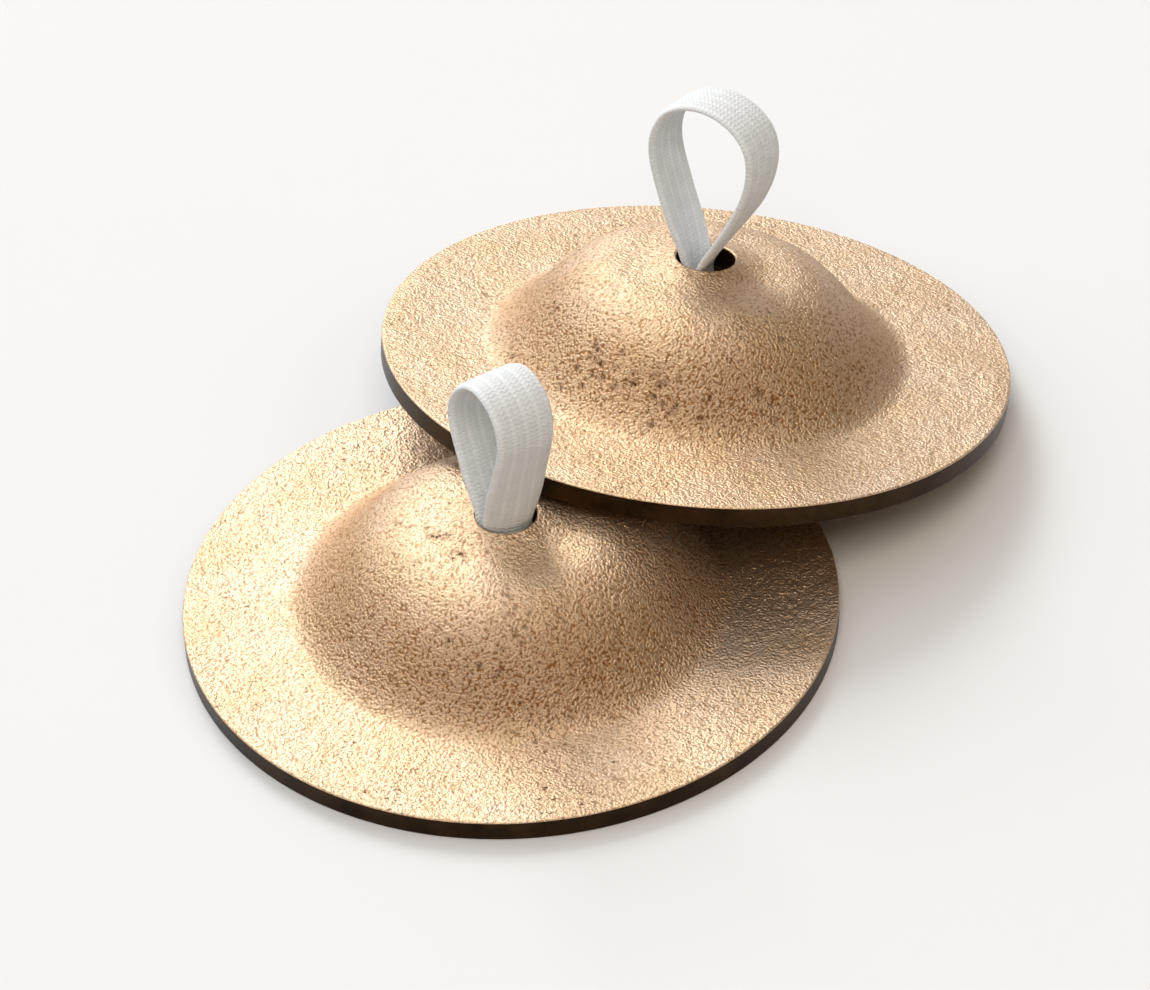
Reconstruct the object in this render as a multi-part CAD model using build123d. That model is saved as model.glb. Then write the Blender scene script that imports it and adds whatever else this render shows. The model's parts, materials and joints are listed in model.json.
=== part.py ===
from build123d import *
import math
import os

# A pair of finger cymbals at rest: one lies flat, and the other leans on its dome.
# Each is a bronze casting with an elastic finger loop, tied off by a knot under the dome.
# +Z is up and +Y runs from the flat cymbal to the leaning one.
# The origin is on the floor, at the middle of the pair's outline.
# All sizes are in millimetres, and all angles in degrees.

# The bronze casting
RIM_RADIUS = 30.0
FLANGE_THICKNESS = 2.05
HOLE_RADIUS = 2.8
EDGE_BREAK = 0.15           # rounding of the rim's two machined edges
LIP_ROUND = 0.5             # rounding of the hole's upper lip
DOME_FOOT_RADIUS = 20.5     # the dome has run out into the flat flange here
DOME_HEIGHT = 9.8           # from the flange's upper face to the hole's lip
CAP_SLOPE = -0.4            # the dome's slope at the hole
CAP_EXTRA = 0.35            # the cap is this much thicker than the flange at the hole
# Radius, and height above the flange, of points on the dome's upper face
DOME_SHAPE = [
    (HOLE_RADIUS, DOME_HEIGHT),
    (6.0, 8.9),
    (9.0, 8.65),
    (11.5, 7.75),
    (13.8, 6.0),
    (16.2, 3.3),
    (18.2, 1.15),
    (DOME_FOOT_RADIUS, 0.0),
]

# How the pair rests
LEAN_ANGLE = 11.46
REST_GAP = 0.1              # air left between the leaning flange and the dome under it
DOME_SAMPLES = 400          # places tried along the dome for where the flange touches it

# The elastic strap
STRAP_WIDTH = 5.85
STRAP_THICKNESS = 0.9
BEND_HEIGHT = 1.0           # the loop bends this far above the hole's lip
NECK_WIDTH = 4.7            # the two legs curl to this width to pass through the hole
NECK_RADIUS = STRAP_THICKNESS
LOOP_END_RADIUS = 1.5       # the loop's ends stay this far from the bend's axis
KNOT_RADIUS = 4.2
KNOT_HEIGHT = 5.0
KNOT_ROUND = 1.7
KNOT_GAP = 0.2              # air left between the knot and the roof of the dome
KNOT_TOP = DOME_HEIGHT - CAP_EXTRA - KNOT_GAP
KNOT_BOTTOM = KNOT_TOP - KNOT_HEIGHT

# Turn of each strap about its hole, from the position where its width runs along +Y
FRONT_STRAP_TURN = -25.0
REAR_STRAP_TURN = 0.0

# Middle line of each loop as (across, up) from the centre of the hole's lip, leg to leg
FRONT_LOOP = [
    (0.5, BEND_HEIGHT),
    (2.0, 3.9),
    (3.4, 7.5),
    (4.15, 11.2),
    (3.2, 14.3),
    (0.3, 15.25),
    (-2.5, 13.6),
    (-4.4, 9.8),
    (-2.9, 5.4),
    (-0.5, BEND_HEIGHT),
]
REAR_LOOP = [
    (0.5, BEND_HEIGHT),
    (2.3, 3.4),
    (4.1, 6.6),
    (4.95, 10.4),
    (4.2, 13.4),
    (1.6, 15.3),
    (-1.6, 15.5),
    (-4.4, 14.1),
    (-5.4, 11.4),
    (-4.2, 7.0),
    (-0.5, BEND_HEIGHT),
]

# Middle line of each cut tail, from the knot's underside outwards, as (across, height)
TAIL = [
    (1.2, KNOT_BOTTOM + STRAP_THICKNESS / 2),
    (2.2, 2.7),
    (4.6, 1.6),
    (7.6, 1.5),
    (9.6, 2.2),
]


def side_shift(points, distance):
    """The points of an open line, each moved to its left by a distance."""
    moved = []
    last = len(points) - 1
    for index, (x, z) in enumerate(points):
        before = points[max(index - 1, 0)]
        after = points[min(index + 1, last)]
        along = Vector(after[0] - before[0], after[1] - before[1]).normalized()
        moved.append((x - along.Y * distance, z + along.X * distance))
    return moved


def upright(points):
    """Turn (across, up) pairs into points of the XZ plane."""
    return [Vector(x, 0, z) for x, z in points]


def dome_curve(points):
    """A smooth line down the dome, from the hole to where it meets the flange."""
    return Spline(upright(points), tangents=(Vector(1, 0, CAP_SLOPE), Vector(1, 0, 0)))


def cymbal_solid(top_shape):
    """One casting, with its axis on Z and its rim on the floor."""
    roof_shape = side_shift(top_shape, -FLANGE_THICKNESS)
    roof_shape[0] = (HOLE_RADIUS, DOME_HEIGHT - CAP_EXTRA)
    roof_shape[-1] = (DOME_FOOT_RADIUS, 0)
    top = dome_curve(top_shape)
    roof = dome_curve(roof_shape)
    upper_edge = (RIM_RADIUS, 0, FLANGE_THICKNESS)
    lower_edge = (RIM_RADIUS, 0, 0)
    section = make_face(
        top
        + Line(top @ 1, upper_edge)
        + Line(upper_edge, lower_edge)
        + Line(lower_edge, roof @ 1)
        + roof
        + Line(roof @ 0, top @ 0)
    )
    casting = revolve(section, axis=Axis.Z)
    circles = casting.edges().filter_by(GeomType.CIRCLE)
    rim_edges = circles.filter_by(lambda edge: edge.radius > RIM_RADIUS - EDGE_BREAK / 2)
    casting = fillet(rim_edges, EDGE_BREAK)
    circles = casting.edges().filter_by(GeomType.CIRCLE)
    lip_edge = circles.sort_by(Axis.Z)[-1]
    return fillet(lip_edge, LIP_ROUND)


def strap_band(middle_line):
    """A flat strap of even thickness whose middle line lies in the XZ plane."""
    left = upright(side_shift(middle_line, STRAP_THICKNESS / 2))
    right = upright(side_shift(middle_line, -STRAP_THICKNESS / 2))
    section = make_face(
        Spline(left)
        + Line(left[-1], right[-1])
        + Spline(right)
        + Line(right[0], left[0])
    )
    return extrude(section, amount=STRAP_WIDTH / 2, dir=(0, 1, 0), both=True)


def loop_solid(middle_line):
    """The finger loop above the bend, with room round the bend's axis."""
    lip = FLANGE_THICKNESS + DOME_HEIGHT
    raised = [(x, z + lip) for x, z in middle_line]
    bend_room = Cylinder(LOOP_END_RADIUS, 2 * STRAP_WIDTH, rotation=(90, 0, 0))
    return strap_band(raised) - Pos(0, 0, lip + BEND_HEIGHT) * bend_room


def knot_solid():
    """The knot under the dome, with the two legs that run up through the hole."""
    bend = FLANGE_THICKNESS + DOME_HEIGHT + BEND_HEIGHT
    knot = Pos(0, 0, KNOT_BOTTOM + KNOT_HEIGHT / 2) * Cylinder(KNOT_RADIUS, KNOT_HEIGHT)
    knot = fillet(knot.edges().filter_by(GeomType.CIRCLE), KNOT_ROUND)
    legs_height = bend - KNOT_BOTTOM - KNOT_HEIGHT / 2
    legs = Pos(0, 0, bend - legs_height / 2) * Box(2 * NECK_RADIUS, NECK_WIDTH, legs_height)
    bend_round = Pos(0, 0, bend) * Cylinder(NECK_RADIUS, NECK_WIDTH, rotation=(90, 0, 0))
    return knot + legs + bend_round


def tail_solids():
    """The two cut ends below the knot, curling away from each other."""
    tail = split(strap_band(TAIL), bisect_by=Plane((0, 0, KNOT_BOTTOM)), keep=Keep.BOTTOM)
    return tail + Rot(0, 0, 180) * tail


def leaning_place(dome_line):
    """Where the leaning cymbal's rim plane is centred: its Y and its height."""
    lean = math.radians(LEAN_ANGLE)
    samples = [dome_line @ (step / DOME_SAMPLES) for step in range(DOME_SAMPLES + 1)]
    support = max(point.Z + point.X * math.tan(lean) for point in samples)
    height = RIM_RADIUS * math.sin(lean)
    reach = (support + REST_GAP / math.cos(lean)) / math.tan(lean) - RIM_RADIUS * math.cos(lean)
    return reach, height


top_shape = [(r, h + FLANGE_THICKNESS) for r, h in DOME_SHAPE]
cymbal = cymbal_solid(top_shape)
leaning_y, leaning_z = leaning_place(dome_curve(top_shape))
leaning = Pos(0, leaning_y, leaning_z) * Rot(-LEAN_ANGLE, 0, 0)
far_edge = (leaning * cymbal).bounding_box().max.Y
to_origin = Pos(0, (RIM_RADIUS - far_edge) / 2, 0)

places = {"front": to_origin, "rear": to_origin * leaning}
turns = {"front": FRONT_STRAP_TURN, "rear": REAR_STRAP_TURN}
loops = {"front": FRONT_LOOP, "rear": REAR_LOOP}

nodes = {}
for side, place in places.items():
    strap_place = place * Rot(0, 0, turns[side])
    nodes[side + "_cymbal"] = place * cymbal
    nodes[side + "_loop"] = strap_place * loop_solid(loops[side])
    nodes[side + "_knot"] = strap_place * knot_solid()
    nodes[side + "_tails"] = strap_place * tail_solids()

os.makedirs("parts", exist_ok=True)
for name, shape in nodes.items():
    export_step(shape, f"parts/{name}.step")

for side, place in places.items():
    lip_centre = (place * Pos(0, 0, FLANGE_THICKNESS + DOME_HEIGHT)).position
    bend_centre = (place * Pos(0, 0, FLANGE_THICKNESS + DOME_HEIGHT + BEND_HEIGHT)).position
    print(side, "rim centre", place.position, "lip", lip_centre, "bend", bend_centre)
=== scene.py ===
import json
import math
import random

import bmesh
import bpy
import numpy as np
from mathutils import Matrix, Vector, noise


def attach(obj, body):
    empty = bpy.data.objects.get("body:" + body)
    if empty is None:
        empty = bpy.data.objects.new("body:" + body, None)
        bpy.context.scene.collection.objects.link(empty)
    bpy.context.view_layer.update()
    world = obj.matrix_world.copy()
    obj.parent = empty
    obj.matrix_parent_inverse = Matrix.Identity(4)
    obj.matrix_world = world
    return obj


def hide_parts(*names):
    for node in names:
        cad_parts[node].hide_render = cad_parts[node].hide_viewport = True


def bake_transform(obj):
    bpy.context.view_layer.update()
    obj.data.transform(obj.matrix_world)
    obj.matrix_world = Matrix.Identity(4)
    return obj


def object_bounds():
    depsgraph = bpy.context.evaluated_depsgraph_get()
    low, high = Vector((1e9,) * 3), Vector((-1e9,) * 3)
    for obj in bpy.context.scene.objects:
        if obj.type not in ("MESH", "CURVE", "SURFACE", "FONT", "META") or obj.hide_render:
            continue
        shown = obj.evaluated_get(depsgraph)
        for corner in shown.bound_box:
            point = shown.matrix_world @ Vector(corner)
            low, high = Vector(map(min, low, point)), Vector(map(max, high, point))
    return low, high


# A pair of cast bronze finger cymbals with knotted elastic loops, one leaning on the other.
# Lengths below are in millimetres and angles in degrees, and MM turns them into metres.
MM = 0.001
SIDES = ("front", "rear")

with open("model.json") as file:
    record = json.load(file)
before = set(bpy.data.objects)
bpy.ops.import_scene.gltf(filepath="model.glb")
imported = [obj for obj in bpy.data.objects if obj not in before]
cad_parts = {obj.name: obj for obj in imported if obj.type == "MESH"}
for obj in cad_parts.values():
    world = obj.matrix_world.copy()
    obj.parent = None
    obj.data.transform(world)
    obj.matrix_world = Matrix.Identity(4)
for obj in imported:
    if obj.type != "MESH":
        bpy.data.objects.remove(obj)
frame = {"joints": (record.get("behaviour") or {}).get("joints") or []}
cad_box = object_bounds()

# ---------------------------------------------------------------- sizes of the casting
RIM_RADIUS = 30.0
FLANGE = 2.05               # thickness of the metal
HOLE_RADIUS = 2.8
EDGE_BREAK = 0.15           # rounding of the rim's two edges
LIP_ROUND = 0.2             # rounding of the hole's upper edge
FOOT_RADIUS = 20.5          # where the dome has run out into the flat flange
# Radius, and height above the flange, of points on the dome's upper face
DOME_SHAPE = [
    (HOLE_RADIUS, 9.8),
    (6.0, 8.9),
    (9.0, 8.65),
    (11.5, 7.75),
    (13.8, 6.0),
    (16.2, 3.3),
    (18.2, 1.15),
    (FOOT_RADIUS, 0.0),
]
CAP_SLOPE = -0.4            # the dome's slope at the hole
TOP_PITCH = 0.2             # distance between vertices of the cast upper face
UNDER_PITCH = 0.5
OUTLINE_SAMPLES = 2000      # points on the dome's line before they are spaced evenly
SLOPE_SAMPLES = 541
WALL_RINGS = 7              # rings up the hole's wall and down the rim
RIM_RINGS = 9
# Vertices round a ring, and the radius up to which that number is used
TOP_SEGMENTS = [(5.5, 96), (11.0, 192), (22.0, 384), (RIM_RADIUS + 1, 768)]
UNDER_SEGMENTS = [(11.0, 96), (21.0, 192), (29.0, 384), (RIM_RADIUS + 1, 768)]

# How far the mould's texture moves each zone's surface outwards, as a share, and how much
# painted shade each zone gets:
# the hole's wall and the underside turn deep brown as painted shade, which also deepens the
# flange's reflection of the underside. The underside's outward is down.
ZONE_TEXTURE = {"top": 1.0, "lip": 0.5, "under": -1.0}
ZONE_PAINTED_SHADE = {"hole": 1.0, "under": 0.7}
# Layers of the mould's roughness, as lumps per millimetre and their height
RELIEF_LAYERS = [(0.16, 0.10), (0.7, 0.035), (1.5, 0.04), (2.6, 0.05)]
RIM_BAND = 0.3              # width of the band along the rim that turning has smoothed
RIM_TEXTURE = 0.15          # share of the texture that is left in it
STEEPEST = 1.3              # slope at which the dome's side counts as fully steep
SEEDS = {"front": 11.0, "rear": 22.0}       # so the two castings are not copies

# Clusters of deeper pits as (x, y, spread, how many), from each casting's axis
PIT_CLUSTERS = {
    "front": [
        (-7.2, -5.0, 1.0, 9),
        (-4.2, -4.6, 0.8, 9),
        (-1.3, -6.3, 0.7, 8),
        (-5.0, -8.2, 0.8, 5),
    ],
    "rear": [
        (-2.0, -15.8, 1.6, 16),
        (4.6, -15.5, 1.8, 14),
        (-17.8, -1.5, 1.0, 6),
        (-21.5, -3.5, 0.8, 4),
    ],
}
CLUSTER_PIT_RADIUS = (0.16, 0.30)
CLUSTER_PIT_DEPTH = (0.10, 0.22)
CLUSTER_FLATNESS = 0.6      # a cluster's spread up the dome, as a share of that across it
# Then pits alone and in small groups, up to the total
PIT_TOTAL = 110
LOOSE_PIT_RANGE = (6, 29)   # distance from the axis
LOOSE_PIT_RADIUS = (0.14, 0.26)
LOOSE_PIT_DEPTH = (0.06, 0.16)
LONE_PIT_GROWTH = 1.2
GROUP_SIZES = (1, 1, 1, 2, 3, 6)
GROUP_SPREAD = 0.9

# ---------------------------------------------------------------- sizes of the elastic
STRAP_WIDTH = 5.85
STRAP_THICKNESS = 0.9
LIP_HEIGHT = 11.85          # the strap's lines below are measured from here
CORDS = 4.5                 # how many broad ribs fit across the strap, with finer ones between
BROAD_RIB = 0.52            # each kind of rib's share of the relief
FINE_RIB = 0.48
RIB_RELIEF = 0.09
SECTION_POINTS = 56         # points across one face of the strap
SECTION_PITCH = 0.16        # distance between sections along the strap
FEWEST_SECTIONS = 8
PATH_SAMPLES = 4000         # points on a curved line before they are spaced evenly
LEAST_CURL = 1e-4           # with less curl a section counts as flat
STITCH_PITCH = 0.4          # distance between stitches along the strap
STITCH_ROWS = 18.0          # rows of slanted stitches across it
STITCH_LEAN = 2.8           # how far a stitch slants in its row, in radians of the pitch
HOLE_SQUEEZE = 0.93         # share of the width where the strap is in the hole
SQUEEZE_RANGE = (0.3, 4.3)  # heights above the lip over which it widens again

KNOT_MIDDLE = 6.75          # height of the knot's middle above the rim's underside
KNOT_MAJOR = 1.9            # the knot's line runs on a ring of this radius and thickness
KNOT_MINOR = 1.2
KNOT_TALL = 1.15            # height of the ring's thickness, as a share of its width
KNOT_GAP = 0.2              # part of the line, in radians, left out where the straps enter
KNOT_POINTS = 72            # places along the line
KNOT_WIDTH = 0.78           # the band's mean share of its width, and how far that swings
KNOT_SWING = 0.22
KNOT_CURL = 0.12            # how the band curls, as one over the curl's radius
KNOT_BAND_WIDTH = 3.3
BAND_POINTS = 34            # points across one face of the knot's doubled band
BAND_RIBS = 5               # ribs across it
BAND_EDGE = 0.25            # half the height of its edges, as a share of one strap's thickness
BAND_GROOVE = 0.86          # how far out the groove between the straps lies, of half the width
# The band where it enters and leaves the knot: place, outward direction, share of the width
KNOT_ENTRY = [(0.0, 0.0, 2.5, 1.0, 0.0, 0.0, 0.7), (0.1, 0.0, 1.4, 1.0, 0.0, 0.0, 0.6)]
KNOT_EXIT = [(0.1, 0.0, -1.4, 1.0, 0.0, 0.0, 0.6), (0.0, 0.0, -2.4, 1.0, 0.0, 0.0, 0.7)]
TAIL_SQUEEZE = 0.5          # share of the width where a tail leaves the knot
TAIL_SPREAD = (1.2, 6.0)    # distances from the axis over which it widens
TAIL_TURN = 6.0             # turn of a tail's width about the axis
# A tail's places outwards, its height above the rim's underside, and its curl
TAIL = [
    (0.7, 5.4, 0.3),
    (1.5, 3.9, 0.25),
    (2.6, 2.6, 0.15),
    (4.8, 1.7, 0.06),
    (7.4, 1.55, 0.03),
    (9.5, 2.1, 0.02),
]

# Sections of each strap from its knot, up the right leg, round and down the left one: the
# middle's place across, along the width and up from the lip, the turn of the width about
# the hole in degrees, and the curl of the section as one over its radius
FRONT_STRAP = [
    (0.9, -0.1, -3.4, -14, 0.20),
    (1.5, -0.45, -1.8, -13, 0.38),
    (1.75, -0.50, 0.0, -12, 0.33),
    (2.05, -0.32, 1.8, -8, 0.19),
    (2.42, -0.24, 3.6, -6, 0.12),
    (2.9, -0.18, 5.6, -4, 0.08),
    (3.5, -0.10, 8.0, -2, 0.04),
    (4.12, 0.0, 11.3, 0, 0.01),
    (3.2, 0.0, 14.3, 0, 0.0),
    (0.4, 0.0, 15.35, 0, 0.0),
    (-2.4, 0.0, 13.8, 0, 0.0),
    (-4.3, 0.0, 10.1, 0, 0.0),
    (-3.2, 0.0, 5.9, 0, 0.0),
    (-2.05, 0.0, 3.2, 0, 0.0),
    (-1.2, 0.0, 1.3, 0, 0.0),
    (-0.6, 0.0, -0.3, 0, -0.04),
    (-0.3, 0.0, -1.8, 0, -0.06),
    (-0.3, 0.0, -3.4, 0, -0.06),
]
REAR_STRAP = [
    (0.25, 0.0, -3.4, 10, 0.06),
    (0.0, 0.0, -1.9, 12, 0.06),
    (0.4, 0.0, -0.2, 12, 0.06),
    (1.3, 0.0, 1.5, 10, 0.05),
    (2.5, 0.0, 3.6, 6, 0.02),
    (4.0, 0.0, 6.6, 1, 0.0),
    (4.95, 0.0, 10.3, 0, 0.0),
    (4.35, 0.0, 13.4, 0, 0.0),
    (1.8, 0.0, 15.45, 0, 0.0),
    (-1.6, 0.0, 15.8, 0, 0.0),
    (-4.4, 0.0, 14.3, 0, 0.0),
    (-5.5, 0.0, 11.4, 0, 0.0),
    (-4.35, 0.0, 7.0, 0, 0.0),
    (-2.75, 0.0, 3.2, 0, 0.04),
    (-1.85, 0.0, 0.7, 1, 0.16),
    (-1.5, 0.0, -1.2, 4, 0.28),
    (-1.0, 0.0, -3.4, 6, 0.25),
]
STRAPS = {"front": FRONT_STRAP, "rear": REAR_STRAP}

joints = {joint["name"]: joint for joint in frame["joints"]}


def columns(x, y, z, origin):
    """A matrix from its three axes and its origin."""
    matrix = Matrix.Identity(4)
    for index, axis in enumerate((x, y, z, origin)):
        for row in range(3):
            matrix[row][index] = axis[row]
    return matrix


def cymbal_place(side):
    """Carries millimetres in a cymbal's own axes into the shared frame."""
    turn = joints[side + "_loop_turn"]
    up = Vector(turn["axis"]).normalized()
    right = Vector((1, 0, 0))
    origin = Vector(turn["pos_m"])
    return columns(right, up.cross(right), up, origin) @ Matrix.Scale(MM, 4)


def strap_place(side):
    """The same for a strap: X across the loop, Y along the strap's width, Z up."""
    up = Vector(joints[side + "_loop_turn"]["axis"]).normalized()
    width = Vector(joints[side + "_loop_tilt"]["axis"]).normalized()
    origin = Vector(joints[side + "_loop_turn"]["pos_m"])
    return columns(width.cross(up), width, up, origin) @ Matrix.Scale(MM, 4)


# ---------------------------------------------------------------- helpers
def smooth_curve(knots, values, slopes=None):
    """A cubic spline through values at knots, as a function of an array."""
    knots = np.array(knots, float)
    values = np.array(values, float)
    gaps = np.diff(knots)
    count = len(knots)
    system = np.zeros((count, count))
    right = np.zeros(count)
    for i in range(1, count - 1):
        system[i, i - 1:i + 2] = gaps[i], 2 * (gaps[i - 1] + gaps[i]), gaps[i - 1]
        right[i] = 3 * (
            gaps[i] * (values[i] - values[i - 1]) / gaps[i - 1]
            + gaps[i - 1] * (values[i + 1] - values[i]) / gaps[i]
        )
    if slopes:
        system[0, 0] = system[-1, -1] = 1
        right[0], right[-1] = slopes
    else:
        system[0, :2] = 2, 1
        system[-1, -2:] = 1, 2
        right[0] = 3 * (values[1] - values[0]) / gaps[0]
        right[-1] = 3 * (values[-1] - values[-2]) / gaps[-1]
    tangents = np.linalg.solve(system, right)

    def at(x):
        """The spline's values at an array of places."""
        x = np.asarray(x, float)
        i = np.clip(np.searchsorted(knots, x) - 1, 0, count - 2)
        t = (x - knots[i]) / gaps[i]
        return (
            (1 + 2 * t) * (1 - t) ** 2 * values[i]
            + t * (1 - t) ** 2 * gaps[i] * tangents[i]
            + t * t * (3 - 2 * t) * values[i + 1]
            + t * t * (t - 1) * gaps[i] * tangents[i + 1]
        )

    return at


def running_length(points):
    """Distance along a line up to each of its points."""
    return np.r_[0, np.cumsum(np.linalg.norm(np.diff(points, axis=0), axis=1))]


def resample(line, length, places):
    """The rows of a line at other places along its length."""
    return np.stack([np.interp(places, length, column) for column in line.T], 1)


def smooth_path(stations, pitch):
    """Sections every pitch along a smooth line through stations of (x, y, z, ...)."""
    stations = np.array(stations, float)
    chord = running_length(stations[:, :3])
    curves = [smooth_curve(chord, column) for column in stations.T]
    fine = np.linspace(0, chord[-1], PATH_SAMPLES)
    line = np.stack([curve(fine) for curve in curves], 1)
    length = running_length(line[:, :3])
    even = np.linspace(0, length[-1], max(int(length[-1] / pitch), FEWEST_SECTIONS))
    return resample(line, length, even), even


def unit_rows(vectors):
    """Each row of an array scaled to length 1."""
    return vectors / np.linalg.norm(vectors, axis=1)[:, None]


def ease(value, start, end):
    """Rises smoothly from 0 at start to 1 at end."""
    share = min(max((value - start) / (end - start), 0.0), 1.0)
    return share * share * (3 - 2 * share)


def mesh_object(name, points, faces, place, materials, face_slots=None):
    """A mesh in metres in the shared frame, from points in a place's own millimetres."""
    data = bpy.data.meshes.new(name)
    data.from_pydata([place @ Vector(p) for p in points], [], faces)
    for material in materials:
        data.materials.append(material)
    if face_slots is not None:
        data.polygons.foreach_set("material_index", np.array(face_slots, np.int32))
    data.polygons.foreach_set("use_smooth", np.full(len(data.polygons), True))
    tidy = bmesh.new()
    tidy.from_mesh(data)
    bmesh.ops.recalc_face_normals(tidy, faces=tidy.faces)
    tidy.to_mesh(data)
    tidy.free()
    obj = bpy.data.objects.new(name, data)
    bpy.context.scene.collection.objects.link(obj)
    return obj


def point_attribute(obj, name, values):
    """Stores one number per vertex, for a material to read."""
    attribute = obj.data.attributes.new(name, "FLOAT", "POINT")
    attribute.data.foreach_set("value", np.asarray(values, np.float32))


def fill_ramp(node, stops):
    """Gives a colour ramp its stops, each a place and a colour."""
    elements = node.color_ramp.elements
    while len(elements) < len(stops):
        elements.new(0.5)
    for element, (place, colour) in zip(elements, stops):
        element.position = place
        element.color = (*colour, 1)


# ---------------------------------------------------------------- material helpers
class Nodes:
    """A short way to write a material's node tree."""

    def __init__(self, name):
        self.material = bpy.data.materials.new(name)
        self.material.use_nodes = True
        self.tree = self.material.node_tree
        self.shader = self.tree.nodes["Principled BSDF"]

    def add(self, kind, inputs=None, **settings):
        """A new node, with its settings and what goes into its sockets."""
        node = self.tree.nodes.new("ShaderNode" + kind)
        for key, value in settings.items():
            setattr(node, key, value)
        for key, value in (inputs or {}).items():
            self.put(node.inputs[key], value)
        return node

    def put(self, socket, value):
        """Links another node's output to a socket, or sets the socket's own value."""
        if isinstance(value, bpy.types.NodeSocket):
            self.tree.links.new(value, socket)
        else:
            socket.default_value = value

    def finish(self, **values):
        """Fills the shader's sockets and hands over the material."""
        for key, value in values.items():
            self.put(self.shader.inputs[key.replace("_", " ")], value)
        return self.material

    def attribute(self, name):
        """A number stored on the mesh's vertices."""
        return self.add("Attribute", attribute_name=name).outputs["Fac"]

    def math(self, operation, a, b=0.0, clamp=False):
        """A Math node on numbers or other nodes' outputs."""
        node = self.add("Math", {0: a, 1: b}, operation=operation, use_clamp=clamp)
        return node.outputs[0]

    def plus(self, a, b, clamp=False):
        """a + b"""
        return self.math("ADD", a, b, clamp)

    def minus(self, a, b):
        """a - b"""
        return self.math("SUBTRACT", a, b)

    def times(self, a, b, clamp=False):
        """a times b"""
        return self.math("MULTIPLY", a, b, clamp)

    def noise(self, vector, scale, detail, roughness):
        """Noise of about scale features per metre."""
        inputs = {"Vector": vector, "Scale": scale, "Detail": detail, "Roughness": roughness}
        return self.add("TexNoise", inputs).outputs["Fac"]

    def bump(self, height, distance, strength=1.0):
        """A bumped normal, where a height of 1 is a distance in millimetres."""
        inputs = {"Height": height, "Strength": strength, "Distance": distance * MM}
        return self.add("Bump", inputs).outputs["Normal"]

    def ramp(self, factor, stops):
        """A colour from a number, by stops of (number, colour)."""
        node = self.add("ValToRGB", {"Fac": factor})
        fill_ramp(node, stops)
        return node.outputs["Color"]

    def mix(self, factor, a, b):
        """Colour a turning into colour b as the factor goes from 0 to 1."""
        node = self.add("Mix", data_type="RGBA")
        self.put(node.inputs["Factor"], factor)
        for socket, colour in ((node.inputs[6], a), (node.inputs[7], b)):
            if isinstance(colour, tuple):
                colour = (*colour, 1)
            self.put(socket, colour)
        return node.outputs[2]


# ---------------------------------------------------------------- materials
WHITE = (1.0, 1.0, 1.0)
BLACK = (0.0, 0.0, 0.0)
BRONZE_LIGHT = (0.76, 0.57, 0.405)
BRONZE_MID = (0.70, 0.495, 0.30)
BRONZE_BROWN = (0.31, 0.145, 0.045)
# Deep brown of the pits and pores, also used as painted shade in the hole and on the underside
PIT_AND_SHADE_BROWN = (0.06, 0.030, 0.013)
# The rim's colours: brown patina, deepened to near black as a painted reflection of dim
# surroundings
RIM_DARK = (0.016, 0.009, 0.0045)
RIM_BROWN = (0.055, 0.031, 0.014)
ELASTIC_GREY = (0.64, 0.67, 0.685)
ELASTIC_WHITE = (0.89, 0.92, 0.94)

# The cast surface is fine grain and cells, with pores that open in patches and round the pits
GRAIN_DEPTH = 0.13          # depth in millimetres of a height of 1
GRAIN_LEVEL = 0.27
CELL_SCALE = 3600.0
CELL_HEIGHT = 0.45
STEEP_GRAIN = 1.1           # how much deeper the grain is on the dome's steep side
# A pore opens where its noise is under a level, which the patches and pits raise
PORE_LEVEL = 0.15
PORE_PATCHES = 0.34
PORE_PITS = 0.16
PORE_EDGE = 14.0            # how sharply a pore begins
PORE_DEPTH = 0.7
# Shares of brown: in the grain's hollows, what steepness adds there, and on the steep side. The
# first is patina in the hollows; the last two are painted shade on the dome's steep side.
HOLLOW_BROWN = 0.45
STEEP_HOLLOW_PAINTED_SHADE = 0.3
STEEP_PAINTED_SHADE = 0.40
PORE_DARKNESS = 0.75
PIT_DARKNESS = 0.4
CAST_ROUGHNESS = 0.40
HOLLOW_ROUGHNESS = 0.15     # what the hollows add to it, and the pores and pits
SUNK_ROUGHNESS = 0.3


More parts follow.
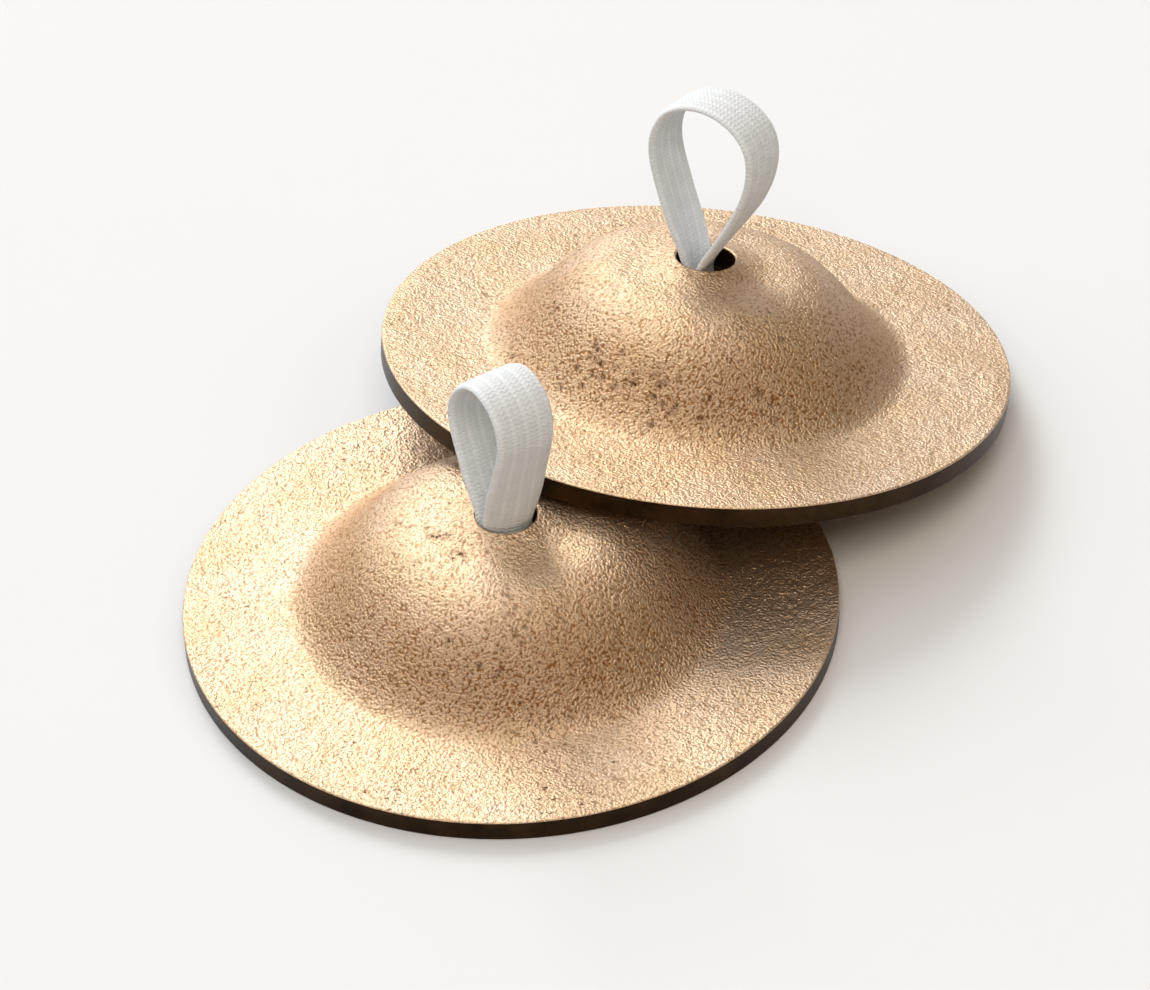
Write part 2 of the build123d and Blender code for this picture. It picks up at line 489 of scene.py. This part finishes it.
def cast_bronze():
    """Sand-cast bronze: granular, pitted, tan-gold with browner hollows, and painted shade on
    the dome's steep side, in the hole and on the underside.
    """
    n = Nodes("cast_bronze")
    place = n.add("TexCoord").outputs["Object"]
    pit = n.attribute("pit")
    painted_shade = n.attribute("painted_shade")
    steep = n.attribute("steep")

    grain = n.noise(place, scale=3300, detail=3, roughness=0.62)
    cells = n.add("TexVoronoi", {"Vector": place, "Scale": CELL_SCALE}).outputs["Distance"]
    height = n.minus(n.plus(grain, GRAIN_LEVEL), n.times(cells, CELL_HEIGHT))
    patches = n.noise(place, scale=170, detail=2, roughness=0.5)
    level = n.plus(n.times(patches, PORE_PATCHES), PORE_LEVEL)
    level = n.plus(level, n.times(pit, PORE_PITS))
    pores = n.noise(place, scale=2100, detail=3, roughness=0.6)
    pore = n.times(n.minus(level, pores), PORE_EDGE, clamp=True)
    relief = n.times(height, n.plus(n.times(steep, STEEP_GRAIN), 1.0))
    relief = n.minus(relief, n.times(pore, PORE_DEPTH))

    broad = n.noise(place, scale=130, detail=3, roughness=0.6)
    tone = n.ramp(broad, [(0.3, BRONZE_MID), (0.7, BRONZE_LIGHT)])
    hollow = n.ramp(height, [(0.34, WHITE), (0.52, BLACK)])
    # Steepness adds painted shade: the dome's steep side and its hollows turn browner all round
    share = n.plus(n.times(steep, STEEP_HOLLOW_PAINTED_SHADE), HOLLOW_BROWN)
    brown = n.plus(n.times(hollow, share), n.times(steep, STEEP_PAINTED_SHADE), clamp=True)
    sunk = n.math("MAXIMUM", n.times(pore, PORE_DARKNESS), n.times(pit, PIT_DARKNESS))
    colour = n.mix(brown, tone, BRONZE_BROWN)
    # Pits and pores turn deep brown, and the hole's wall and the underside get the same colour
    # as painted shade
    colour = n.mix(n.math("MAXIMUM", sunk, painted_shade), colour, PIT_AND_SHADE_BROWN)
    rough = n.plus(n.times(hollow, HOLLOW_ROUGHNESS), CAST_ROUGHNESS)
    rough = n.plus(rough, n.times(sunk, SUNK_ROUGHNESS))
    normal = n.bump(relief, GRAIN_DEPTH)
    return n.finish(Base_Color=colour, Metallic=1.0, Roughness=rough, Normal=normal)


def machined_bronze():
    """The turned rim: near-black brown satin with fine lines round it; the colour is partly
    patina and partly a painted reflection of dim surroundings.
    """
    n = Nodes("machined_bronze")
    place = n.add("TexCoord").outputs["Object"]
    height = n.add("CombineXYZ", {"X": n.attribute("ring")}).outputs["Vector"]
    lines = n.noise(height, scale=9.0, detail=4, roughness=0.7)
    stain = n.noise(place, scale=260, detail=4, roughness=0.65)
    colour = n.ramp(stain, [(0.3, RIM_DARK), (0.7, RIM_BROWN)])
    rough = n.plus(n.times(stain, 0.25), 0.25)
    normal = n.bump(lines, 0.05, strength=0.5)
    return n.finish(Base_Color=colour, Metallic=1.0, Roughness=rough, Normal=normal)


def white_elastic():
    """Flat braided elastic: white yarn over rubber cords, with fine slanted stitches, and
    painted shade in the grooves between ribs and stitches.
    """
    n = Nodes("white_elastic")
    uv = n.add("UVMap", uv_map="strap").outputs["UV"]
    parts = n.add("SeparateXYZ", {"Vector": uv})
    across, along = parts.outputs["X"], parts.outputs["Y"]
    place = n.add("TexCoord").outputs["Object"]

    turn = n.times(n.minus(across, 0.5), CORDS * 2 * math.pi)
    broad = n.times(n.math("COSINE", turn), BROAD_RIB)
    fine = n.times(n.math("COSINE", n.times(turn, 2.0)), FINE_RIB)
    ribs = n.plus(broad, fine)
    lean = n.times(n.math("PINGPONG", n.times(across, STITCH_ROWS), 1.0), STITCH_LEAN)
    stitch = n.math("SINE", n.plus(n.times(along, 2 * math.pi / STITCH_PITCH), lean))
    fuzz = n.noise(place, scale=8000, detail=3, roughness=0.7)
    patches = n.noise(place, scale=700, detail=2, roughness=0.5)

    # The shares of stitches, fuzz and ribs in the relief, then in the colour. In the colour the
    # fuzz and patches are uneven wear, and the ribs and stitches are painted shade in their
    # grooves with painted light on their ridges.
    relief = n.plus(n.times(stitch, 0.38), n.times(fuzz, 1.8))
    relief = n.plus(relief, n.times(ribs, 0.5))
    wear_and_shade = n.plus(n.times(fuzz, 0.6), n.times(patches, 0.5))
    wear_and_shade = n.plus(n.times(wear_and_shade, 0.6), n.times(ribs, 0.13))
    wear_and_shade = n.plus(wear_and_shade, n.times(stitch, 0.07))
    colour = n.ramp(wear_and_shade, [(0.05, ELASTIC_GREY), (0.6, ELASTIC_WHITE)])
    sheen = {"Sheen_Weight": 0.15, "Sheen_Roughness": 0.4}
    return n.finish(Base_Color=colour, Roughness=0.8, Normal=n.bump(relief, 0.05), **sheen)


CAST = cast_bronze()
MACHINED = machined_bronze()
ELASTIC = white_elastic()


# ---------------------------------------------------------------- the castings
top_height = smooth_curve(*zip(*DOME_SHAPE), slopes=(CAP_SLOPE, 0.0))


def dome_top(radius):
    """Height of the casting's upper face above the rim's underside."""
    inside = top_height(np.minimum(radius, FOOT_RADIUS))
    return FLANGE + np.where(radius < FOOT_RADIUS, inside, 0.0)


def even_line(points, pitch):
    """Points every pitch along a polyline of many points."""
    points = np.array(points, float)
    length = running_length(points)
    even = np.linspace(0, length[-1], max(int(round(length[-1] / pitch)), 1) + 1)
    return resample(points, length, even)


def arc(centre, radius, start, end, steps):
    """Points of an arc in the (radius, height) plane, angles in degrees."""
    angles = np.radians(np.linspace(start, end, steps))
    return [(centre[0] + radius * math.cos(a), centre[1] + radius * math.sin(a)) for a in angles]


def casting_outline():
    """Rings of the casting as (radius, height, zone), round its whole section."""
    edge = RIM_RADIUS - EDGE_BREAK
    lip = HOLE_RADIUS + LIP_ROUND
    fine = np.linspace(lip, edge, OUTLINE_SAMPLES)
    top = even_line(np.stack([fine, dome_top(fine)], 1), TOP_PITCH)
    lip_z = top[0][1] - LIP_ROUND
    # The roof of the hollow lies one thickness below the upper face, square to it
    slope = np.gradient(dome_top(fine), fine)
    scale = FLANGE / np.sqrt(1 + slope ** 2)
    roof = np.stack([fine + slope * scale, dome_top(fine) - scale], 1)
    roof = roof[(roof[:, 0] > HOLE_RADIUS) & (roof[:, 0] < edge)]
    roof = even_line(roof, UNDER_PITCH)[::-1]

    high, low = FLANGE - EDGE_BREAK, EDGE_BREAK
    lip_arc = arc((lip, lip_z), LIP_ROUND, start=180, end=100, steps=6)
    zones = [
        ("hole", [(HOLE_RADIUS, z) for z in np.linspace(roof[-1][1], lip_z, WALL_RINGS)]),
        ("lip", lip_arc[1:]),
        ("top", top),
        ("edge", arc((edge, high), EDGE_BREAK, start=80, end=0, steps=5)),
        ("rim", [(RIM_RADIUS, z) for z in np.linspace(high, low, RIM_RINGS)[1:]]),
        ("rim", arc((edge, low), EDGE_BREAK, start=-15, end=-90, steps=5)),
        ("under", roof),
    ]
    return [(r, z, zone) for zone, places in zones for r, z in places]


def segments(radius, zone):
    """How many vertices go round a ring."""
    table = UNDER_SEGMENTS if zone == "under" else TOP_SEGMENTS
    return next(count for limit, count in table if radius <= limit)


def join_rings(first, first_count, second, second_count):
    """Faces between two rings whose counts are equal, or one twice the other."""
    if first_count == second_count:
        steps = [(k, (k + 1) % first_count) for k in range(first_count)]
        return [(first + a, first + b, second + b, second + a) for a, b in steps]
    if first_count > second_count:
        swapped = join_rings(second, second_count, first, first_count)
        return [tuple(reversed(face)) for face in swapped]
    faces = []
    for k in range(first_count):
        a, b = first + k, first + (k + 1) % first_count
        c, d, e = (second + (2 * k + i) % second_count for i in range(3))
        faces += [(a, d, c), (a, b, d), (b, e, d)]
    return faces


def ring_mesh(rings):
    """Points, their zones, faces and material slots of a section turned about the axis."""
    points, zones, starts, counts = [], [], [], []
    for r, z, zone in rings:
        count = segments(r, zone)
        starts.append(len(points))
        counts.append(count)
        turn = np.arange(count) * 2 * math.pi / count
        points += [(r * math.cos(a), r * math.sin(a), z) for a in turn]
        zones += [zone] * count
    faces, slots = [], []
    for k in range(len(rings)):
        after = (k + 1) % len(rings)
        added = join_rings(starts[k], counts[k], starts[after], counts[after])
        machined = rings[k][2] == "rim" or rings[after][2] == "rim"
        faces += added
        slots += [1 if machined else 0] * len(added)
    return np.array(points), np.array(zones), faces, slots


def by_zone(zones, table):
    """Each point's value by its zone, 0 for zones that the table leaves out."""
    return np.select([zones == zone for zone in table], list(table.values()), 0.0)


def mould_relief(point, seed):
    """How far the sand mould's roughness lifts the surface at a point."""
    shifted = Vector(point) + Vector((seed, 0, 0))
    return sum(noise.noise(shifted * lumps) * height for lumps, height in RELIEF_LAYERS)


def scatter_pits(side):
    """Casting pits as (x, y, radius, depth), some alone and some in clusters."""
    chance = random.Random(SEEDS[side])
    pits = []
    for x, y, spread, members in PIT_CLUSTERS[side]:
        for _ in range(members):
            place = x + chance.gauss(0, spread), y + chance.gauss(0, spread * CLUSTER_FLATNESS)
            size = chance.uniform(*CLUSTER_PIT_RADIUS)
            pits.append((*place, size, chance.uniform(*CLUSTER_PIT_DEPTH)))
    nearest, farthest = LOOSE_PIT_RANGE
    while len(pits) < PIT_TOTAL:
        r = math.sqrt(chance.uniform(nearest ** 2, farthest ** 2))
        a = chance.uniform(0, 2 * math.pi)
        members = chance.choice(GROUP_SIZES)
        spread = GROUP_SPREAD if members > 1 else 0.0
        growth = LONE_PIT_GROWTH if members == 1 else 1.0
        for _ in range(members):
            x = r * math.cos(a) + chance.gauss(0, spread)
            y = r * math.sin(a) + chance.gauss(0, spread)
            size = chance.uniform(*LOOSE_PIT_RADIUS) * growth
            pits.append((x, y, size, chance.uniform(*LOOSE_PIT_DEPTH)))
    return pits


def pit_marks(points, zones, pits):
    """How far into a pit each point is, from 0 to 1, and how deep it lies there."""
    share = np.zeros(len(points))
    depth = np.zeros(len(points))
    for x, y, size, deep in pits:
        away = np.hypot(points[:, 0] - x, points[:, 1] - y) / size
        dip = np.exp(-away ** 2) * (zones == "top")
        share = np.maximum(share, dip)
        depth = np.maximum(depth, deep * dip)
    return share, depth


def casting(side):
    """One cymbal as a fine mesh with its mould texture and machined rim."""
    points, zones, faces, slots = ring_mesh(casting_outline())
    radius = np.hypot(points[:, 0], points[:, 1])
    steps = np.linspace(HOLE_RADIUS, RIM_RADIUS, SLOPE_SAMPLES)
    slope = np.interp(radius, steps, np.gradient(dome_top(steps), steps))
    outward = points[:, :2] / radius[:, None]
    normal = unit_rows(np.c_[-slope[:, None] * outward, np.ones(len(points))])

    # The texture fades over the last millimetre before the rim's band
    fade = np.clip(RIM_RADIUS - RIM_BAND - radius, RIM_TEXTURE, 1.0)
    relief = np.array([mould_relief(point, SEEDS[side]) for point in points])
    pit, depth = pit_marks(points, zones, scatter_pits(side))
    lift = by_zone(zones, ZONE_TEXTURE) * fade * relief - depth
    points += normal * lift[:, None]
    points[:, 2] = np.maximum(points[:, 2], 0.0)

    name = side + "_casting"
    obj = mesh_object(name, points, faces, cymbal_place(side), [CAST, MACHINED], slots)
    point_attribute(obj, "pit", pit)
    # Painted shade: the hole's wall and the underside are coloured deep brown
    point_attribute(obj, "painted_shade", by_zone(zones, ZONE_PAINTED_SHADE))
    point_attribute(obj, "steep", np.clip(-slope / STEEPEST, 0, 1) * (zones == "top"))
    point_attribute(obj, "ring", points[:, 2])
    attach(obj, side + "_cymbal")
    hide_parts(side + "_cymbal")


for side in SIDES:
    casting(side)


# ---------------------------------------------------------------- the elastic straps
def strap_section():
    """Outline of the strap's cross-section as (across, through, share of width)."""
    half = STRAP_WIDTH / 2
    across = half * np.sin(np.linspace(-math.pi / 2, math.pi / 2, SECTION_POINTS))
    share = across / half
    body = STRAP_THICKNESS / 2 * (1 - np.abs(share) ** 7) ** 0.5
    turn = share * CORDS * math.pi
    rib = (FINE_RIB * np.cos(turn * 2) + BROAD_RIB * np.cos(turn)) * RIB_RELIEF
    rib *= 1 - share ** 6                  # the ribs run out at the strap's two edges
    face = body - RIB_RELIEF / 2 - rib / 2
    face[0] = face[-1] = 0.0
    upper = [(a, max(b, 0.0), s) for a, b, s in zip(across, face, share)]
    lower = [(a, -b, s) for a, b, s in reversed(upper[1:-1])]
    return upper + lower


def sweep(name, frames, outline, place):
    """A closed fabric mesh: an outline of (across, through, share) swept along frames.

    A frame is (centre, side, out, stretch, curl, distance). Stretch multiplies the width,
    curl bends the section away from its out side, and distance runs along the fabric.
    """
    count = len(outline)
    points, faces, uv = [], [], []
    for centre, side, out, stretch, curl, distance in frames:
        for across, through, share in outline:
            width = across * stretch
            bend = width * curl
            turned = math.sin(bend) / curl if abs(curl) > LEAST_CURL else width
            bowed = (math.cos(bend) - 1) / curl if abs(curl) > LEAST_CURL else 0.0
            lean = side * math.sin(bend) + out * math.cos(bend)
            points.append(centre + side * turned + out * bowed + lean * through)
            uv.append((share / 2 + 0.5, distance))
    for k in range(len(frames) - 1):
        faces += join_rings(k * count, count, (k + 1) * count, count)
    faces.append(tuple(range(count)))
    faces.append(tuple(reversed(range(len(points) - count, len(points)))))
    obj = mesh_object(name, points, faces, place, [ELASTIC])
    layer = obj.data.uv_layers.new(name="strap")
    corner = np.zeros(len(obj.data.loops), np.int32)
    obj.data.loops.foreach_get("vertex_index", corner)
    layer.data.foreach_set("uv", np.array(uv, np.float32)[corner].ravel())
    return obj


def strap_mesh(name, stations, place, squeeze):
    """A ribbed strap through stations of (x, y, z, turn, curl)."""
    path, length = smooth_path(stations, SECTION_PITCH)
    tangent = unit_rows(np.gradient(path[:, :3], axis=0))
    turn = np.radians(path[:, 3])
    side = np.stack([-np.sin(turn), np.cos(turn), 0 * turn], 1)
    side = unit_rows(side - tangent * np.sum(side * tangent, 1)[:, None])
    out = np.cross(side, tangent)
    stretch = [squeeze(centre) for centre in path[:, :3]]
    frames = list(zip(path[:, :3], side, out, stretch, path[:, 4], length))
    return sweep(name, frames, strap_section(), place)


def hole_squeeze(centre):
    """The strap draws in a little where it passes through the hole."""
    start, end = SQUEEZE_RANGE
    wide = ease(centre[2], LIP_HEIGHT + start, LIP_HEIGHT + end)
    return HOLE_SQUEEZE + (1 - HOLE_SQUEEZE) * wide


def finger_strap(side):
    """A strap from knot to knot, laid out in the loop's turn and tilt axes."""
    stations = [(x, y, z + LIP_HEIGHT, turn, curl) for x, y, z, turn, curl in STRAPS[side]]
    obj = strap_mesh(side + "_strap", stations, strap_place(side), hole_squeeze)
    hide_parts(side + "_loop")
    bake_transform(obj)


def doubled_section():
    """Outline of two straps lying on each other, with a groove at each edge."""
    half = KNOT_BAND_WIDTH / 2
    edge = STRAP_THICKNESS * BAND_EDGE
    groove = half * BAND_GROOVE
    share = np.sin(np.linspace(-math.pi / 2, math.pi / 2, BAND_POINTS))
    rib = np.cos(share * BAND_RIBS * math.pi) * RIB_RELIEF * (1 - share ** 6)
    rounded = 0.5 + 0.42 * (1 - np.abs(share) ** 5) ** 0.5      # in thicknesses of one strap
    face = STRAP_THICKNESS * rounded - RIB_RELIEF / 2 - rib / 2
    upper = [(half * a, b, a) for a, b in zip(share, face)]
    right = [(half, edge, 1.0), (groove, 0.0, 1.0), (half, -edge, 1.0)]
    lower = [(a, -b, s) for a, b, s in reversed(upper)]
    left = [(-half, -edge, -1.0), (-groove, 0.0, -1.0), (-half, edge, -1.0)]
    return upper + right + lower + left


def knot_stations():
    """Rows of place, outward direction and share of the width along an overhand knot."""
    rows = []
    inner = math.pi / 3                    # where the line passes down the middle
    start, end = inner + KNOT_GAP, inner + 2 * math.pi - KNOT_GAP
    for phase in np.linspace(start, end, KNOT_POINTS):
        swell, angle = math.cos(3 * phase), 2 * phase
        reach = KNOT_MAJOR + KNOT_MINOR * swell
        out = (swell * math.cos(angle), swell * math.sin(angle), math.sin(3 * phase))
        height = KNOT_MINOR * KNOT_TALL * out[2]
        place = (reach * math.cos(angle), reach * math.sin(angle), height)
        rows.append((*place, *out, KNOT_WIDTH + KNOT_SWING * swell))
    return np.array(KNOT_ENTRY + rows + KNOT_EXIT)


def knot(side):
    """The overhand knot under a dome, tied in both straps together."""
    path, length = smooth_path(knot_stations(), SECTION_PITCH)
    centre = path[:, :3] + (0, 0, KNOT_MIDDLE)
    tangent = unit_rows(np.gradient(centre, axis=0))
    out = path[:, 3:6]
    out = unit_rows(out - tangent * np.sum(out * tangent, 1)[:, None])
    across = np.cross(tangent, out)
    curl = np.full(len(length), KNOT_CURL)
    frames = list(zip(centre, across, out, path[:, 6], curl, length))
    obj = sweep(side + "_overhand_knot", frames, doubled_section(), strap_place(side))
    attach(obj, side + "_knot")
    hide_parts(side + "_knot")


def tail_squeeze(centre):
    """A tail spreads to its full width as it leaves the knot."""
    wide = ease(math.hypot(centre[0], centre[1]), *TAIL_SPREAD)
    return TAIL_SQUEEZE + (1 - TAIL_SQUEEZE) * wide


def tail(side, number):
    """One cut end of the strap, from under the knot out to one side."""
    way = 1 if number == 1 else -1
    stations = [(way * x, 0.0, z, TAIL_TURN * way, way * curl) for x, z, curl in TAIL]
    obj = strap_mesh(f"{side}_tail_{number}", stations, strap_place(side), tail_squeeze)
    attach(obj, side + "_knot")
    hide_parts(side + "_tails")


for side in SIDES:
    finger_strap(side)
    knot(side)
    tail(side, 1)
    tail(side, 2)

# ---------------------------------------------------------------- floor, lights, camera
FLOOR_REACH = 3000
FLOOR_GAP = 0.02            # the floor lies this far below the cymbals, so the faces don't meet
FLOOR_COLOUR = (0.74, 0.745, 0.755, 1)

# Each soft light's name, place, size, power in watts and colour
SOFTBOXES = [
    ("window", (-600, 440, 600), 400, 4.9, WHITE),
    ("warm_fill", (620, 180, 560), 420, 0.6, (1.0, 0.80, 0.56)),
    ("camera_fill", (260, -420, 760), 420, 3.6, (1.0, 0.90, 0.77)),
]
BRIGHT_SIDE = Vector((-0.80, 0.10, 0.59)).normalized()
# Share of the way towards the bright side, and the room's colour there
ROOM_LIGHT = [
    (0.0, (0.06, 0.045, 0.032)),
    (0.46, (0.085, 0.065, 0.045)),
    (0.58, (0.22, 0.18, 0.145)),
    (0.74, (0.68, 0.65, 0.62)),
    (0.88, (0.88, 0.92, 1.04)),
    (1.0, (0.94, 1.00, 1.16)),
]

CAMERA_TARGET = (2.90, -9.38, 10.0)
CAMERA_DISTANCE = 412.3
CAMERA_AZIMUTH = 33.65
CAMERA_ELEVATION = 39.87
CAMERA_ROLL = -2.47
CAMERA_LENS = 141.87
SENSOR_WIDTH = 36.0
NEAREST_VIEW = 10.0


def plain_floor():
    """A wide, flat, pale floor."""
    n = Nodes("pale_floor")
    material = n.finish(Base_Color=FLOOR_COLOUR, Roughness=0.9, Specular_IOR_Level=0.2)
    size = FLOOR_REACH * MM
    data = bpy.data.meshes.new("floor")
    corners = [(-size, -size, 0), (size, -size, 0), (size, size, 0), (-size, size, 0)]
    data.from_pydata(corners, [], [(0, 1, 2, 3)])
    data.materials.append(material)
    obj = bpy.data.objects.new("floor", data)
    obj.location.z = cad_box[0].z - FLOOR_GAP * MM
    bpy.context.scene.collection.objects.link(obj)


def softbox(name, place, size, power, colour):
    """A square area light aimed at the cymbals."""
    data = bpy.data.lights.new(name, "AREA")
    data.size = size * MM
    data.energy = power
    data.color = colour
    obj = bpy.data.objects.new(name, data)
    obj.location = Vector(place) * MM
    obj.rotation_euler = (-obj.location).to_track_quat("-Z", "Y").to_euler()
    bpy.context.scene.collection.objects.link(obj)


def room():
    """Surroundings that are bright at the back left, for the metal to reflect."""
    world = bpy.data.worlds.new("studio")
    world.use_nodes = True
    tree = world.node_tree
    direction = tree.nodes.new("ShaderNodeTexCoord")
    along = tree.nodes.new("ShaderNodeVectorMath")
    along.operation = "DOT_PRODUCT"
    along.inputs[1].default_value = BRIGHT_SIDE
    share = tree.nodes.new("ShaderNodeMapRange")
    share.inputs["From Min"].default_value = -1
    ramp = tree.nodes.new("ShaderNodeValToRGB")
    ramp.color_ramp.interpolation = "B_SPLINE"
    fill_ramp(ramp, ROOM_LIGHT)
    tree.links.new(direction.outputs["Generated"], along.inputs[0])
    tree.links.new(along.outputs["Value"], share.inputs["Value"])
    tree.links.new(share.outputs["Result"], ramp.inputs["Fac"])
    tree.links.new(ramp.outputs["Color"], tree.nodes["Background"].inputs["Color"])
    bpy.context.scene.world = world


def make_camera():
    """A long lens above the front right, rolled a little."""
    azimuth = math.radians(CAMERA_AZIMUTH)
    elevation = math.radians(CAMERA_ELEVATION)
    forward = Vector((
        -math.sin(azimuth) * math.cos(elevation),
        math.cos(azimuth) * math.cos(elevation),
        -math.sin(elevation),
    ))
    data = bpy.data.cameras.new("camera")
    data.lens = CAMERA_LENS
    data.sensor_width = SENSOR_WIDTH
    data.clip_start = NEAREST_VIEW * MM
    obj = bpy.data.objects.new("camera", data)
    spin = Matrix.Rotation(math.radians(CAMERA_ROLL), 4, "Z")
    turn = forward.to_track_quat("-Z", "Y").to_matrix().to_4x4()
    position = (Vector(CAMERA_TARGET) - forward * CAMERA_DISTANCE) * MM
    obj.matrix_world = Matrix.Translation(position) @ turn @ spin
    bpy.context.scene.collection.objects.link(obj)
    bpy.context.scene.camera = obj


plain_floor()
for values in SOFTBOXES:
    softbox(*values)
room()
make_camera()
bpy.context.scene.view_settings.view_transform = "Standard"
